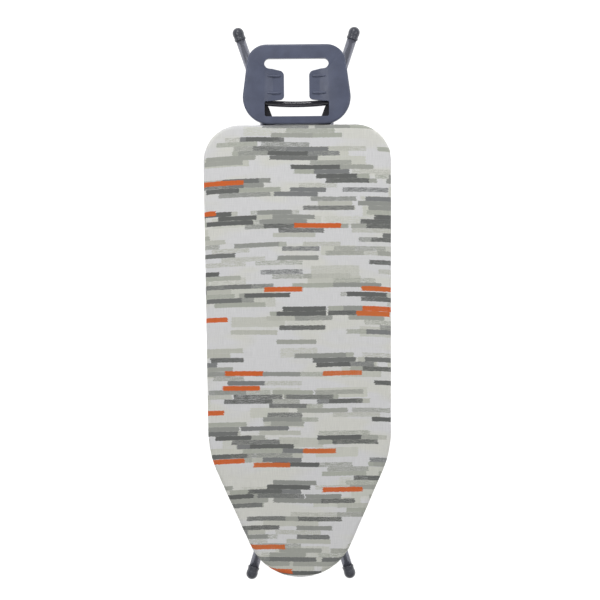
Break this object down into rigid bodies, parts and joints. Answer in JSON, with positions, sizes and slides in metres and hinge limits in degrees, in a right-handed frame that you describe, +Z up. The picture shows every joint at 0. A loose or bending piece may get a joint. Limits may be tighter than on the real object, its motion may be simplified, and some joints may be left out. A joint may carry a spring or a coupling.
{
  "type": "ironing board",
  "caption": "Folding ironing board laid flat: padded cloth top on a steel mesh, crossed tube legs, and a plastic iron rest at the square end.",
  "frame": {"origin": "on the floor, under the middle of the folded board's bounding box", "axes": "+Z up, out of the cloth face; +Y along the board towards the iron rest; +X to the right, the side of the release lever"},
  "size_m": [0.432, 1.2737, 0.053],
  "materials": {
    "cover_cloth": "woven cotton with a brushed stroke print in greys, cream and orange",
    "foam": "soft open-cell foam",
    "elastic": "braided elastic cord",
    "slate_plastic": "satin slate blue moulding",
    "grey_plastic": "satin dark grey moulding",
    "slate_paint": "satin slate grey powder coat",
    "black_paint": "glossy black paint",
    "zinc_steel": "bright zinc plate",
    "nylon": "natural nylon"
  },
  "bodies": {
    "board": {"cover": "cover_cloth", "edge_rim": "slate_paint", "foam_pad": "foam", "guide_pin_front": "zinc_steel", "guide_pin_middle": "zinc_steel", "guide_pin_rear": "zinc_steel", "hem_elastic": "elastic", "hinge_brace": "slate_paint", "hinge_bracket_left": "zinc_steel", "hinge_bracket_right": "zinc_steel", "hinge_pin_left": "zinc_steel", "hinge_pin_right": "zinc_steel", "iron_rest": "slate_plastic", "lever_brace": "slate_paint", "lever_pivot": "zinc_steel", "lever_strap": "zinc_steel", "mesh_panel": "slate_paint", "nose_brace": "slate_paint", "rail_front_brace": "slate_paint", "rail_left": "zinc_steel", "rail_rear_brace": "slate_paint", "rail_right": "zinc_steel", "rest_screw_left_1": "zinc_steel", "rest_screw_left_2": "zinc_steel", "rest_screw_right_1": "zinc_steel", "rest_screw_right_2": "zinc_steel", "rest_support": "black_paint", "return_spring": "zinc_steel", "support_bolt_left": "zinc_steel", "support_bolt_right": "zinc_steel", "waist_brace": "slate_paint"},
    "outer_leg": {"outer_foot_cap_left": "grey_plastic", "outer_foot_cap_right": "grey_plastic", "outer_leg_crossbar": "slate_paint", "outer_leg_tube_left": "slate_paint", "outer_leg_tube_right": "slate_paint", "outer_tube_plug_left": "grey_plastic", "outer_tube_plug_right": "grey_plastic", "middle_pivot_rod": "zinc_steel", "middle_rod_cap_left": "zinc_steel", "middle_rod_cap_right": "zinc_steel", "middle_washer_left": "nylon", "middle_washer_right": "nylon"},
    "inner_leg": {"inner_foot_cap_left": "grey_plastic", "inner_foot_cap_right": "grey_plastic", "inner_leg_crossbar": "slate_paint", "inner_leg_tube_left": "slate_paint", "inner_leg_tube_right": "slate_paint", "inner_tube_plug_left": "grey_plastic", "inner_tube_plug_right": "grey_plastic", "slide_rod": "zinc_steel", "slide_rod_cap_left": "zinc_steel", "slide_rod_cap_right": "zinc_steel", "slide_bush_left": "nylon", "slide_bush_right": "nylon", "middle_spacer": "nylon"},
    "lever": {"lever_arm": "zinc_steel", "lever_grip": "slate_plastic", "lever_drive_pin": "zinc_steel"},
    "release": {"release_bar": "zinc_steel"}
  },
  "joints": [
    {"name": "leg_fold", "type": "hinge", "parent": "board", "child": "outer_leg", "pos_m": [0, -0.38, 0.013], "axis": [-1, 0, 0], "range_deg": [0, 58]},
    {"name": "leg_cross", "type": "hinge", "parent": "outer_leg", "child": "inner_leg", "pos_m": [0, 0, 0.013], "axis": [1, 0, 0], "range_deg": [0, 116]},
    {"name": "lever_squeeze", "type": "hinge", "parent": "board", "child": "lever", "pos_m": [0.074, 0.33, 0.0327], "axis": [0, 0, 1], "range_deg": [0, 8], "stiffness_Nm_per_rad": 1.5, "springref_deg": -5.73},
    {"name": "release_slide", "type": "slide", "parent": "board", "child": "release", "axis": [0, -1, 0], "range_m": [0, 0.01], "deforming": ["return_spring"]}
  ],
  "couplings": [
    {"joint": "leg_cross", "follows": "leg_fold", "ratio": 2},
    {"joint": "release_slide", "follows": "lever_squeeze", "m_per_rad": 0.07}
  ]
}
